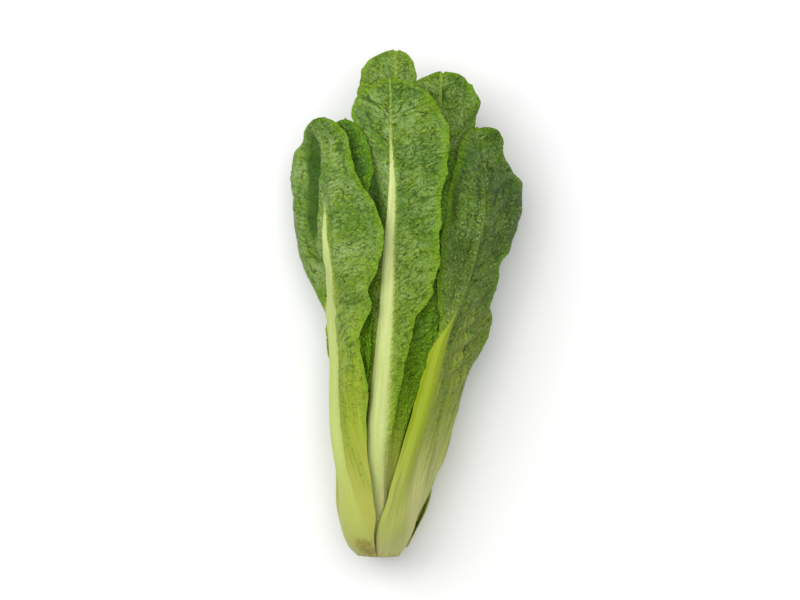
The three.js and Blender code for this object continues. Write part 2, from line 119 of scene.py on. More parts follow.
# Each leaf, from the heart outwards:
#   begin and to: its ends along the head
#   round: where its tip starts to round; square: how squarely, left and right, with 2 for an ellipse
#   shell: how many shells deep it lies; rib: how stout its rib is, 1 for an ordinary one
#   lift and wave: how far its margin stands off the leaf below, evenly and in waves
#   turn: where its rib lies by place, in degrees; left and right: the degrees from there to its margins
LEAVES = {
    "heart_leaf_1": hidden_leaf(44, 206, (100, 95), 30, 3.2, 0.45, 1),
    "heart_leaf_2": hidden_leaf(40, 222, (275, 268), 33, 2.9, 0.5, 2),
    "inner_leaf_1": hidden_leaf(32, 243, (20, 28), 34, 2.2, 0.6, 3),
    "inner_leaf_2": hidden_leaf(30, 246, (150, 150), 36, 2.0, 0.6, 4),
    "inner_leaf_3": hidden_leaf(28, 250, (265, 262), 40, 1.8, 0.65, 5),
    "top_back_leaf": dict(
        begin=24, to=288, round=256, square=(2, 2.1), shell=1.05, rib=0.75, lift=1.2, wave=1.2, seed=6,
        turn=[[0, 88], [60, 90], [150, 97], [220, 98], [288, 96]],
        left=[[0, 30], [60, 24], [120, 22], [180, 28], [230, 28], [251, 28], [266, 30], [276, 32.5],
              [288, 33]],
        right=[[0, 24], [60, 22], [120, 20], [180, 26], [230, 20], [258, 15], [270, 16], [288, 21]]),
    "right_back_leaf": dict(
        begin=20, to=275.5, round=246, square=(2.1, 2.3), shell=0.8, rib=0.8, lift=1.6, wave=1.4, seed=7,
        turn=[[0, 40], [60, 52], [120, 64], [180, 68], [225, 66.5], [275.5, 66]],
        left=[[0, 24], [60, 20], [120, 20], [180, 28], [225, 29.5], [250, 29.5], [275.5, 29]],
        right=[[0, 34], [60, 24], [120, 24], [180, 31], [225, 32.5], [246, 34], [257, 31], [275.5, 31]]),
    "side_leaf_left": hidden_leaf(18, 238, (196, 191), 36, 1.0, 0.8, 8),
    "side_leaf_right": hidden_leaf(19, 236, (2, 4), 34, 0.9, 0.8, 19),
    "under_leaf_left": hidden_leaf(21, 245, (245, 238), (35, 32), 1.1, 0.8, 9),
    "under_leaf_right": hidden_leaf(20, 240, (312, 308), 40, 0.95, 0.8, 10),
    "middle_leaf": dict(
        begin=15, to=244, round=215, square=(2.2, 2.2), shell=0.45, rib=0.8, lift=0.8, wave=0.7, seed=11,
        turn=[[0, 92], [30, 98], [60, 98], [100, 96], [140, 90], [200, 86], [244, 85]],
        left=[[0, 26], [30, 18], [60, 14], [120, 18], [200, 24], [244, 22]],
        right=[[0, 26], [25, 19], [43, 17], [66, 19], [82, 22], [94, 24], [112, 27], [134, 31], [200, 33],
               [244, 28]]),
    "outer_leaf_under": hidden_leaf(4, 250, (272, 270), 32, 0, 1.3, 14, lift=0, wave=0),
    "outer_leaf_left_under": hidden_leaf(6, 240, (222, 232), (22, 42), -0.2, 0.95, 12, lift=0.2, wave=0.3),
    "outer_leaf_right_under": hidden_leaf(5, 234, (320, 308), (38, 22), -0.2, 0.95, 13, lift=0.2, wave=0.3),
    "outer_leaf_right": dict(
        begin=0.6, to=244, round=231, square=(2.4, 2.2), shell=0, rib=1.05, lift=1.6, wave=3.2, seed=15,
        turn=[[0, 77], [22, 77.5], [37, 76.5], [56, 72.7], [80, 68.7], [91, 67.7], [119, 64.8], [133, 58.5],
              [148, 50], [164, 44.5], [244, 44]],
        left=[[0, 25], [8, 22], [20, 16.5], [31, 12], [46, 10], [60, 8.5], [74, 7.5], [88, 6.8], [102, 6.2],
              [118, 5.6], [125, 5.6], [133, 7], [140, 12], [148, 18], [156, 22], [165, 24], [180, 25],
              [200, 22.5], [210, 20], [222, 15.5], [231, 12.5], [244, 10]],
        right=[[0, 40], [20, 44.5], [40, 52.5], [60, 64.7], [83, 64.7], [104, 54.8], [118, 60.8],
               [133, 55.5], [145, 38.7], [155, 37], [168, 28.4], [178, 40], [190, 50], [208, 50], [218, 39],
               [223, 30], [229, 24], [236, 23], [244, 25]]),
    "outer_leaf_top": dict(
        begin=7, to=271, round=240, square=(2, 2.25), shell=0.02, rib=1, lift=2, wave=1.6, seed=16,
        turn=[[0, 102], [41, 102], [63, 104], [82, 105], [119, 107], [148, 105], [175, 100], [213, 98],
              [240, 98.5], [271, 99]],
        left=[[0, 20], [40, 14], [60, 13], [90, 16], [120, 20], [150, 26], [180, 29], [205, 27], [225, 23],
              [243, 21.5], [254, 27], [262, 28], [271, 23]],
        right=[[0, 20], [43, 12], [60, 12.5], [78, 14.5], [92, 16.5], [110, 19], [130, 21.5], [138, 23.5],
               [144, 28.5], [152, 31], [162, 30.5], [172, 28.5], [194, 26.2], [213, 27.5], [231, 30.2],
               [248, 31], [257, 31], [264, 30], [271, 26]]),
    "left_back_leaf": dict(
        begin=14, to=249, round=226, square=(2, 2), shell=0.75, rib=0.35, lift=0.9, wave=0.6, seed=17,
        turn=[[0, 124], [60, 128], [249, 126]],
        left=[[0, 20], [60, 14], [120, 9], [165, 6], [200, 12], [249, 17]],
        right=[[0, 14], [60, 12], [120, 13], [180, 14], [200, 14], [208, 16], [214, 17.5], [222, 18.5],
               [231, 17], [249, 16]]),
    "outer_leaf_left": dict(
        begin=0.8, to=249.5, round=216, square=(2.3, 2.4), shell=0, rib=1.05, lift=1.3, wave=1.8, seed=18,
        turn=[[0, 132], [16, 136], [34, 141], [51, 149], [72, 158], [90, 162], [105, 164.5], [120, 167],
              [136, 167], [147, 163], [156, 156], [165, 147], [175, 139.5], [187, 137.5], [198, 137],
              [212, 138], [225, 139], [250, 138]],
        left=[[0, 40], [20, 39], [36, 36], [51, 30], [63, 24], [79, 18.5], [91, 15], [105, 12], [117, 9.5],
              [128, 8], [140, 7.5], [150, 15], [160, 33], [175, 48.5], [190, 54], [203, 55], [225, 49],
              [250, 41]],
        right=[[0, 29], [11, 34.5], [23, 41], [35, 41.5], [51, 42.5], [63, 46], [79, 50.5], [91, 51.5],
               [105, 49.5], [117, 46.5], [128, 49], [140, 53.5], [147, 50.5], [154, 46], [160, 44.5],
               [170, 41.5], [180, 40], [190, 37], [200, 33], [210, 27.5], [220, 24.5], [235, 23],
               [250, 24]]),
}
# The top leaf's rib passes under the right leaf's at the butt and over its blade further up.
ORDER_IN_BLADES = list(LEAVES)
ORDER_AT_BUTT = [name for name in ORDER_IN_BLADES if name != "outer_leaf_right"]
ORDER_AT_BUTT.insert(ORDER_AT_BUTT.index("left_back_leaf") + 1, "outer_leaf_right")
ORDER_CHANGE = (45, 75)  # the places between which one order passes into the other


# ------------------------------------------------------------------ the head's shells
def point_at(y, turn, rise):
    """The point in millimetres at a place along the head, a turn round it, and a rise over its outline."""
    t = np.radians(turn)
    half_width, top = through(HALF_WIDTH, y), through(HALF_HEIGHT_TOP, y)
    up = np.sin(t) >= 0
    half_height = np.where(up, top, through(HALF_HEIGHT_UNDER, y))
    height = np.sin(t) * np.where(up, 1, 1 + through(FLATNESS_UNDER, y) * (1 + np.sin(t)))
    sideways = 1 + 0.5 * (half_width / top - 1)
    return np.stack([through(AXIS_X, y) + (half_width + sideways * rise) * np.cos(t), y - HEAD_LENGTH / 2,
                     through(AXIS_Z, y) + (half_height + rise) * height], -1)


def lowest_rise(y):
    """How deep a leaf can lie: on the stem near the butt, and clear of the head's middle further up."""
    under = through(HALF_HEIGHT_UNDER, y)
    over_core = through(CORE_RADIUS, y) + CORE_CLEARANCE - under
    return np.where(y < CORE_LENGTH, np.maximum(over_core, -DEEPEST * under), -DEEPEST * under)


def share_along(leaf, y):
    return np.clip((y - leaf["begin"]) / (leaf["to"] - leaf["begin"]), 0, 1)


def leaf_radius(leaf, y):
    """The radius of the leaf's shell, to turn degrees into millimetres."""
    return arc_radius(y, -leaf["shell"] * SHELL_STEP)


def half_turn(leaf, left, y):
    """Degrees from the rib to the margin before the tip's rounding, with its small lobes."""
    phase = np.where(left, 0, 2.1)
    lobes = 0.02 * np.sin(y / 8 + leaf["seed"] * 1.7 + phase)
    lobes = 1 + lobes + 0.012 * np.sin(y / 3.7 + leaf["seed"] + phase)
    return np.where(left, through(leaf["left"], y), through(leaf["right"], y)) * lobes


def tip_share(leaf, y):
    """0 up to where the tip's rounding starts, and 1 at the tip."""
    return np.maximum((y - leaf["round"]) / (leaf["to"] - leaf["round"]), 0)


def footprint(leaf, y, off):
    """1 over the leaf, falling to 0 a little way off it."""
    left = off > 0
    square = np.where(left, *leaf["square"])
    half = half_turn(leaf, left, y)
    reach = ((np.abs(off) / half) ** square + tip_share(leaf, y) ** square) ** (1 / square)
    past = (reach - 1) * np.radians(half) * leaf_radius(leaf, y)
    return (1 - smooth(past, 7, 24)) * (1 - smooth(leaf["begin"] - y, 6, 18))


def rib_half_width(leaf, y):
    return through(RIB_HALF_WIDTH, share_along(leaf, y)) * (0.4 + 0.6 * leaf["rib"])


def rib_profile(leaf, y, off, spread=1.0):
    """How far the rib stands out over the blade."""
    across = np.abs(np.radians(off)) * leaf_radius(leaf, y) / (rib_half_width(leaf, y) * spread)
    height = through(RIB_HEIGHT, share_along(leaf, y)) * leaf["rib"]
    return height * np.maximum(1 - across * across, 0) ** 1.5


def margin_lift(leaf, y, off):
    """How far the waved margin stands off the leaf below."""
    left = off > 0
    phase = np.where(left, 0, 2.1)
    to_margin = np.abs(off) / half_turn(leaf, left, y)
    near = np.maximum(smooth(to_margin, 0.45, 1), 0.8 * smooth(tip_share(leaf, y), 0.3, 1))
    up = smooth(share_along(leaf, y), 0.3, 0.6) * smooth(half_turn(leaf, left, y), 6, 12)
    waves = np.sin(y / 7.5 + leaf["seed"] * 2.3 + phase) * 0.6 + np.sin(y / 4.1 + leaf["seed"] + phase) * 0.4
    return near * up * (leaf["lift"] + leaf["wave"] * (0.5 + 0.5 * waves))


def turn_from_rib(leaf, y, turn):
    """Degrees from the leaf's rib, from -180 to 180; above 0 is to the left."""
    return np.mod(turn - through(leaf["turn"], y) + 180, 360) - 180


def stacked(order, name, y, turn):
    """The rise of one leaf's inner face and how far others cover it, in one order from the heart outwards."""
    gap = GAP_AT_BUTT + (GAP_IN_BLADES - GAP_AT_BUTT) * smooth(y, *GAP_GROWS)
    offs = {n: turn_from_rib(LEAVES[n], y, turn) for n in order}
    over = {n: footprint(LEAVES[n], y, offs[n]) for n in order}
    outer_rib = BLADE_ROOM + through(RIB_HEIGHT, y / HEAD_LENGTH)
    step = SHELL_STEP * through(HALF_HEIGHT_TOP, y)
    room = 1.3 + 0.7 * smooth(y, 30, 90)  # a leaf above stays off a rib's flanks too
    low, rises, tops = lowest_rise(y), {}, {}
    for i, n in enumerate(order):
        leaf = LEAVES[n]
        rise = soft_max(-outer_rib - leaf["shell"] * step, low, 1)
        for below in order[:i]:
            lifted = soft_max(rise, tops[below] + gap - SINK * (1 - over[below]), 2)
            rise = np.where(over[below] > 0, lifted, rise)
        covered = np.max([over[above] for above in order[i + 1:]] or [np.zeros_like(y)], axis=0)
        rises[n] = rise + (1 - covered) * margin_lift(leaf, y, offs[n])
        if n == name:
            return rises[n], covered
        tops[n] = rises[n] + BLADE_ROOM + rib_profile(leaf, y, offs[n], room)


def rise_of(name, y, turn):
    """The rise and the cover of one leaf, with the order at the butt passing into the order in the blades."""
    change = smooth(y, *ORDER_CHANGE)
    low, covered_low = stacked(ORDER_AT_BUTT, name, y, turn)
    high, covered = stacked(ORDER_IN_BLADES, name, y, turn)
    return low * (1 - change) + high * change, covered_low * (1 - change) + covered * change


# ------------------------------------------------------------------ relief of the blade's skin
VEIN_SPACING = 13  # from one side vein to the next, along the rib
VEIN_CLIMB = 0.62  # how far a side vein climbs for each millimetre outwards
# Each pattern's sizes out from the rib and along it, and how far it stands out or sinks in.
BLISTER, BLISTER_HEIGHT = (4.6, 3.0), 0.5
WRINKLE, WRINKLE_HEIGHT = (3.0, 1.4), 0.35
CREASE, CREASE_DEPTH = (8, 3.4), 0.55
BULGE, BULGE_HEIGHT = (12, 10), 1.3
SKIN_LEVEL = 0.85  # taken off again, so that the skin lies round the leaf's own rise


def lattice(ix, iy, seed):
    """A fixed random value from 0 to 1 for each cell."""
    h = np.sin(ix * 127.1 + iy * 311.7 + seed * 74.7) * 43758.5453
    return h - np.floor(h)


def cloud(x, y, seed):
    """Smooth noise from 0 to 1, one lump to a unit."""
    ix, iy = np.floor(x), np.floor(y)
    fx, fy = smooth(x - ix, 0, 1), smooth(y - iy, 0, 1)
    low = lattice(ix, iy, seed) * (1 - fx) + lattice(ix + 1, iy, seed) * fx
    high = lattice(ix, iy + 1, seed) * (1 - fx) + lattice(ix + 1, iy + 1, seed) * fx
    return low * (1 - fy) + high * fy


def pillows(x, y, seed):
    """Domed cells of about one unit: 0 on the seams between them, 1 at their middles."""
    ix, iy = np.floor(x), np.floor(y)
    first, second = np.full(x.shape, 9.0), np.full(x.shape, 9.0)
    for dx in (-1, 0, 1):
        for dy in (-1, 0, 1):
            cx, cy = ix + dx, iy + dy
            px, py = cx + 0.15 + 0.7 * lattice(cx, cy, seed), cy + 0.15 + 0.7 * lattice(cx, cy, seed + 5)
            d = np.hypot(x - px, y - py)
            second = np.minimum(second, np.maximum(first, d))
            first = np.minimum(first, d)
    return np.sqrt(np.clip((second - first) / 0.8, 0, 1))


def vein_place(leaf, y, u):
    """Where on the rib the side vein through this point starts, in millimetres."""
    bend = 1.3 * np.sin(np.abs(u) / 11 + leaf["seed"]) + 2.4 * cloud(u / 16, y / 19, leaf["seed"])
    return y - VEIN_CLIMB * np.abs(u) + 0.004 * u * u + bend + np.where(u > 0, 0.0, 0.47 * VEIN_SPACING)


def relief(leaf, y, u):
    """How far the skin stands out, in millimetres, and how deep in a crease it is, from 0 to 1."""
    seed, place = leaf["seed"], vein_place(leaf, y, u)
    shift = 2.4 * cloud(u / 5, place / 4, seed + 6)
    strength = 0.3 + 1.1 * cloud(u / 13, y / 16, seed + 8)
    blisters = pillows((u + shift) / BLISTER[0], (place + shift) / BLISTER[1], seed)
    creases = 1 - np.abs(2 * cloud((u + shift) / CREASE[0], (place - shift) / CREASE[1], seed + 9) - 1)
    creases = smooth(creases, 0.7, 1) * np.clip(1.5 - strength, 0, 1)
    wrinkles = cloud(u / WRINKLE[0], place / WRINKLE[1], seed + 2)
    bulges = cloud(u / BULGE[0], place / BULGE[1], seed + 7)
    skin = BLISTER_HEIGHT * strength * blisters - CREASE_DEPTH * creases
    skin = skin + WRINKLE_HEIGHT * wrinkles + BULGE_HEIGHT * bulges - SKIN_LEVEL
    return skin, np.maximum((1 - blisters) * np.clip(strength, 0, 1), creases)


# ------------------------------------------------------------------ leaf meshes
CUSHION_BY_RIB, CUSHION_ON_BLADE = 1.4, 1.5  # how high the blade's soft cushions stand
RUFFLE_LENGTH, RUFFLE_HEIGHT = 8.5, 1.3
FIBRE_SPACING, FIBRE_HEIGHT = 1.9, 0.035  # along the stalk
FLUTE_SPACING, FLUTE_HEIGHT = 7.5, 0.16
BUTT_ROWS = 9  # rows of faces on each side that a step near the butt is spread over
BUTT_END = (28, 44)  # the places between which that smoothing ends
CUT_ROUNDING, ROUNDING_DEPTH = 9, 2.2  # how far along the head the butt draws in, and by how much


def row_places(leaf, rows):
    """Where the rows of faces lie along the head, closer together towards the tip's end."""
    tip_rows = round(rows * 0.2)
    body = np.linspace(0, 1, rows - tip_rows + 1)
    tip = np.sin(np.arange(1, tip_rows + 1) / tip_rows * 1.5)
    return np.concatenate([leaf["begin"] + (leaf["round"] - leaf["begin"]) * body,
                           leaf["round"] + (leaf["to"] - leaf["round"]) * tip])


def mesh_piece(name, points, faces, attributes=(), uv=None):
    """A smooth mesh in metres from points in millimetres, with its attributes and its map in millimetres."""
    mesh = bpy.data.meshes.new(name)
    mesh.from_pydata((np.asarray(points) / 1000).tolist(), [], faces)
    for key, values in dict(attributes).items():
        attribute = mesh.attributes.new(key, "FLOAT", "POINT")
        attribute.data.foreach_set("value", np.asarray(values, np.float32).ravel())
    if uv is not None:
        corner = np.empty(len(mesh.loops), np.int32)
        mesh.loops.foreach_get("vertex_index", corner)
        mesh.uv_layers.new(name="leaf_mm").data.foreach_set("uv", np.asarray(uv, np.float32)[corner].ravel())
    mesh.polygons.foreach_set("use_smooth", np.ones(len(mesh.polygons), bool))
    piece = bpy.data.objects.new(name, mesh)
    bpy.context.scene.collection.objects.link(piece)
    return piece


def leaf_grid(leaf, rows, columns):
    """Place along the head, degrees from the rib and millimetres to the margin, over the whole leaf."""
    y, s = np.meshgrid(row_places(leaf, rows), np.linspace(-1, 1, 2 * columns + 1), indexing="ij")
    left = s > 0
    square = np.where(left, *leaf["square"])
    half = half_turn(leaf, left, y) * np.maximum(1 - tip_share(leaf, y) ** square, 0) ** (1 / square)
    radius = leaf_radius(leaf, y)

    # The margin is frilled along both sides, and round the tip.
    side = leaf["seed"] + np.where(left, 0, 31)
    frill = 1.1 * cloud(y / 4.2, side, 1) + 0.5 * cloud(y / 1.7, side, 2) - 0.8
    frill = frill * smooth(share_along(leaf, y), 0.25, 0.5) * (half > 3)
    off = s * (half + np.degrees(frill / radius) * np.abs(s) ** 4)
    tip = smooth(tip_share(leaf, y), 0.2, 1)
    y = y + tip * (1.6 * cloud(s * 4.5 + 9, side, 3) + 0.7 * cloud(s * 11 + 9, side, 4) - 1.15)
    edge = np.minimum((1 - np.abs(s)) * np.radians(half) * radius, (leaf["to"] - y) * 1.2 + 0.001)
    return y, off, np.maximum(edge, 0)


# What each leaf shows, in millimetres except for flat; u is the distance from the rib, above 0 to the left.
#   pale: the places between which the stalk's paleness gives way to green
#   rib: half the width of the pale rib by place, and aside: how far it lies to the left of the raised rib
#   stiff: how wide a hollow the leaf bridges, 0 for a limp leaf
#   flat: the share of the rib's height that is lost up the leaf
#   fold: how deep the tip is folded along the rib
#   fan: how high the blade stands out between its side veins
#   hollows and bruises: [place, u, length, width, depth]; the skin paints the hollows darker green as shade
USUAL = dict(stiff=0, flat=0.4, fold=0, fan=0.8, hollows=[], bruises=[], aside=[[0, 0], [HEAD_LENGTH, 0]])
SHOWN = {
    "outer_leaf_top": USUAL | dict(
        pale=(34, 70), stiff=9, flat=0.6, fan=0.9, aside=[[0, 0], [100, -0.5], [288, -0.5]],
        hollows=[[197, 8, 26, 4.5, 2.6], [71, -12, 22, 3.5, 1.8]],
        rib=[[0, 0.1], [34, 0.5], [48, 4.6], [61, 5.4], [82, 5.8], [100, 5.5], [119, 4.9], [148, 3.8],
             [175, 2.6], [204, 1.7], [234, 0.8], [258, 0.5], [271, 0.3]]),
    "outer_leaf_left": USUAL | dict(
        pale=(16, 150), stiff=9, fold=1.8, fan=1.0,
        hollows=[[212, 14.5, 32, 8, 4]], bruises=[[6, -4.5, 6, 4, 1]],
        aside=[[0, -1], [120, -1], [138, -2.5], [150, -4.5], [160, -4.3], [168, -2.6], [185, -0.9],
               [200, -0.5]],
        rib=[[0, 11], [50, 7], [80, 5.5], [110, 5.5], [128, 6], [140, 8], [150, 8.5], [158, 6], [166, 3.3],
             [176, 1.6], [186, 1.2], [193, 1], [199, 0.2], [250, 0.05]]),
    "outer_leaf_right": USUAL | dict(
        pale=(10, 160), fan=1.8, hollows=[[207, 16, 24, 6, 2.4]],
        rib=[[0, 9], [40, 7], [75, 5.5], [102, 5], [118, 4], [126, 2.8], [133, 1.4], [141, 0.4],
             [150, 0.05], [244, 0.05]]),
    "right_back_leaf": USUAL | dict(pale=(20, 110), rib=[[20, 6], [200, 1.4], [250, 0.9], [275, 0.5]]),
    "top_back_leaf": USUAL | dict(pale=(24, 114), rib=[[24, 6], [200, 1.6], [260, 0.8], [288, 0.3]]),
}


def shown_on(name):
    """What a leaf shows; a leaf without its own entry has a rib as wide as its raised one."""
    leaf = LEAVES[name]
    length = leaf["to"] - leaf["begin"]
    rib = [[leaf["begin"] + share * length, 0.8 * width * leaf["rib"] * (1 - 0.7 * share)]
           for share, width in RIB_HALF_WIDTH]
    return SHOWN.get(name, USUAL | dict(pale=(leaf["begin"], leaf["begin"] + 90), rib=rib))


def dents(places, y, u):
    """The depth of soft dents, each given as [place, u, length, width, depth]."""
    return sum((depth * np.exp(-(((y - at) / length) ** 4) - ((u - off) / width) ** 2)
                for at, off, length, width, depth in places), np.zeros_like(y))


def rounded_butt(rise, y):
    """The rise with its steps near the butt smoothed along the head, and drawn in towards the cut face."""
    padded = np.concatenate([rise[:1]] * BUTT_ROWS + [rise] + [rise[-1:]] * BUTT_ROWS)
    soft = np.mean([padded[i:i + len(rise)] for i in range(2 * BUTT_ROWS + 1)], axis=0)
    share = 1 - smooth(y, *BUTT_END)
    rise = rise * (1 - share) + soft * share
    room = np.clip((rise - lowest_rise(y)) / 6, 0, 1)
    return rise - ROUNDING_DEPTH * room * (1 - smooth(y, 0, CUT_ROUNDING)) ** 2


def bridged(rise, u, span):
    """The rise of a stiff leaf, which bridges hollows across the rib up to the span, in millimetres."""
    weight = np.gradient(u, axis=1)[:, None, :] * np.exp(-(((u[:, :, None] - u[:, None, :]) / span) ** 2))
    soft = (weight * rise[:, None, :]).sum(-1) / weight.sum(-1)
    return soft_max(rise, soft, 1)


def leaf_mesh(name, rows, columns):
    """One leaf: a fine outer face, an inner face half as fine, and the rim between them."""
    leaf, looks = LEAVES[name], shown_on(name)
    y, off, edge = leaf_grid(leaf, rows, columns)
    turn = off + through(leaf["turn"], y)
    rise, covered = rise_of(name, y, turn)
    rise = rounded_butt(rise, y)
    u = np.radians(off) * leaf_radius(leaf, y)
    if looks["stiff"]:
        rise = bridged(rise, u, looks["stiff"])
    along, shown, rib_width = share_along(leaf, y), 1 - covered, rib_half_width(leaf, y)
    on_rib = 1 - smooth(np.abs(u) / rib_width, 0.6, 1.1)
    off_rib = (1 - on_rib) * smooth(along, 0.14, 0.42)

    # The blade stands out in low cushions beside the rib, and its margin in small ruffles.
    skin, crease = relief(leaf, y, u)
    by_rib = smooth(np.abs(u) / rib_width, 0.8, 3) * (1 - smooth(np.abs(u), 14, 34))
    swell = CUSHION_BY_RIB * by_rib + CUSHION_ON_BLADE * cloud(u / 19, y / 23, leaf["seed"] + 3)
    cushion = shown * smooth(along, 0.35, 0.6) * swell
    fan = np.sin(2 * np.pi * vein_place(leaf, y, u) / VEIN_SPACING)
    fan = fan * smooth(np.abs(u), 5, 20) * smooth(edge, 1, 9)
    fan = fan * cloud(u / 25, y / 30, leaf["seed"] + 11)
    cushion = cushion + looks["fan"] * shown * smooth(along, 0.3, 0.5) * fan
    ruffle = shown * smooth(along, 0.35, 0.55) * smooth(1 - edge / 9, 0, 1)
    ruffle = ruffle * RUFFLE_HEIGHT * cloud(u / 30, y / RUFFLE_LENGTH, leaf["seed"] + 4)
    fold = looks["fold"] * np.exp(-((u / 2.4) ** 2)) * smooth(along, 0.7, 0.85)
    skin = off_rib * skin * (0.35 + 0.65 * smooth(edge, 0, 5)) * (0.4 + 0.6 * shown)
    hollow, bruise = dents(looks["hollows"], y, u), dents(looks["bruises"], y, u)
    rise = rise + skin + cushion + ruffle - fold - hollow

    # Pale stalk and rib, as shares from 0 to 1. The rib's left edge is crisp and its right one soft, with a
    # waxy strip of blade beside it.
    aside = through(looks["aside"], y)
    across = np.abs(u - aside) / through(looks["rib"], y)
    crisp, soft = 1 - smooth(across, 0.8, 1.15), 1 - smooth(across, 0.2, 2.0)
    pale_rib = np.where(u > aside, crisp, soft) * (1 - 0.55 * smooth(along, 0.75, 0.92))
    pale = np.clip((looks["pale"][1] - y) / (looks["pale"][1] - looks["pale"][0]), 0, 1)
    beside = (1 - smooth(across, 0.9, 2.6)) * (1 - smooth(along, 0.55, 0.95)) * (u < 0)

    # The blade thins towards its margin, and fibres run along the stalk.
    blade = (0.9 - 0.35 * smooth(along, 0.15, 0.5)) * (0.55 + 0.45 * smooth(edge, 0, 2.5))
    sway = 3 * cloud(u / 3, y / 40, leaf["seed"])
    fibres = FIBRE_HEIGHT * np.cos(u * 2 * np.pi / FIBRE_SPACING + sway)
    fibres = fibres + FLUTE_HEIGHT * np.cos(u * 2 * np.pi / FLUTE_SPACING + sway)
    fibres = fibres * smooth(1 - along, 0.4, 0.9) * smooth(along, 0.02, 0.1)
    under = rise + (BLADE_ROOM - blade) / 2
    kept = 1 - looks["flat"] * smooth(along, 0.25, 0.6)
    ridge = rib_profile(leaf, y, off) * smooth(edge, -0.6, 1.6) * kept
    top = point_at(y, turn, under + blade + ridge + fibres)
    bottom = point_at(y, turn, under)
    top[..., 2] = np.maximum(top[..., 2], 0)
    bottom[..., 2] = np.maximum(bottom[..., 2], 0.5)

    count = top.shape[0] * top.shape[1]
    outer = np.arange(count).reshape(top.shape[:2])
    inner = count + np.arange((rows // 2 + 1) * (columns + 1)).reshape(-1, columns + 1)
    outside = np.stack([outer[:-1, :-1], outer[1:, :-1], outer[1:, 1:], outer[:-1, 1:]], -1)
    inside = np.stack([inner[:-1, :-1], inner[:-1, 1:], inner[1:, 1:], inner[1:, :-1]], -1)
    faces = outside.reshape(-1, 4).tolist() + inside.reshape(-1, 4).tolist()

    # The rim runs round the leaf, two fine edges to one coarse edge.
    sides = [(outer[:, 0], inner[:, 0], 1), (outer[:, -1], inner[:, -1], -1),
             (outer[0], inner[0], -1), (outer[-1], inner[-1], 1)]
    for fine, coarse, way in sides:
        for i in range(len(coarse) - 1):
            ring = [fine[2 * i], fine[2 * i + 1], fine[2 * i + 2], coarse[i + 1], coarse[i]]
            faces.append([int(corner) for corner in ring[::-way]])

    def both(field):
        return np.concatenate([field.ravel(), field[::2, ::2].ravel()])

    points = np.concatenate([top.reshape(-1, 3), bottom[::2, ::2].reshape(-1, 3)])
    # The crease field carries how deep the skin lies in creases and hollows; the skin paints both darker
    # green as shade.
    fields = {"rib": pale_rib, "pale": pale, "height": y / 100, "edge": np.clip(edge, 0, 30),
              "beside": beside, "crease": np.maximum(crease * off_rib, np.clip(0.42 * hollow, 0, 1)),
              "bruise": np.maximum(bruise, 0.5 * (1 - smooth(y - leaf["begin"], 0, 5)))}
    uv = np.stack([both(u), both(vein_place(leaf, y, u))], 1)
    fields = {key: both(field) for key, field in fields.items()}
    return mesh_piece(name.replace("leaf", "blade"), points, faces, fields, uv)


# ------------------------------------------------------------------ nodes and colours
FACTOR, FIRST, SECOND = 0, 6, 7  # a colour Mix node's sockets


def colour(hexadecimal):
    """An sRGB hex value as linear RGBA."""
    c = np.array([int(hexadecimal[i:i + 2], 16) for i in (0, 2, 4)]) / 255
    return (*np.where(c <= 0.04045, c / 12.92, ((c + 0.055) / 1.055) ** 2.4), 1)


def node(tree, kind, inputs=None, **settings):
    """Adds a node with its settings; an input takes a value, a socket, or a node's first output in use."""
    made = tree.nodes.new(kind)
    for key, value in settings.items():
        setattr(made, key, value)
    for key, value in (inputs or {}).items():
        if isinstance(value, bpy.types.Node):
            value = next(socket for socket in value.outputs if socket.enabled)
        if isinstance(value, bpy.types.NodeSocket):
            tree.links.new(value, made.inputs[key])
        else:
            made.inputs[key].default_value = value
    return made


def new_material(name):
    """An empty material, and the function that adds nodes to it."""
    material = bpy.data.materials.new(name)
    material.use_nodes = True
    material.node_tree.nodes.clear()
    return material, partial(node, material.node_tree)


# ------------------------------------------------------------------ leaf skin
RUSTY_SAP = "84692c"


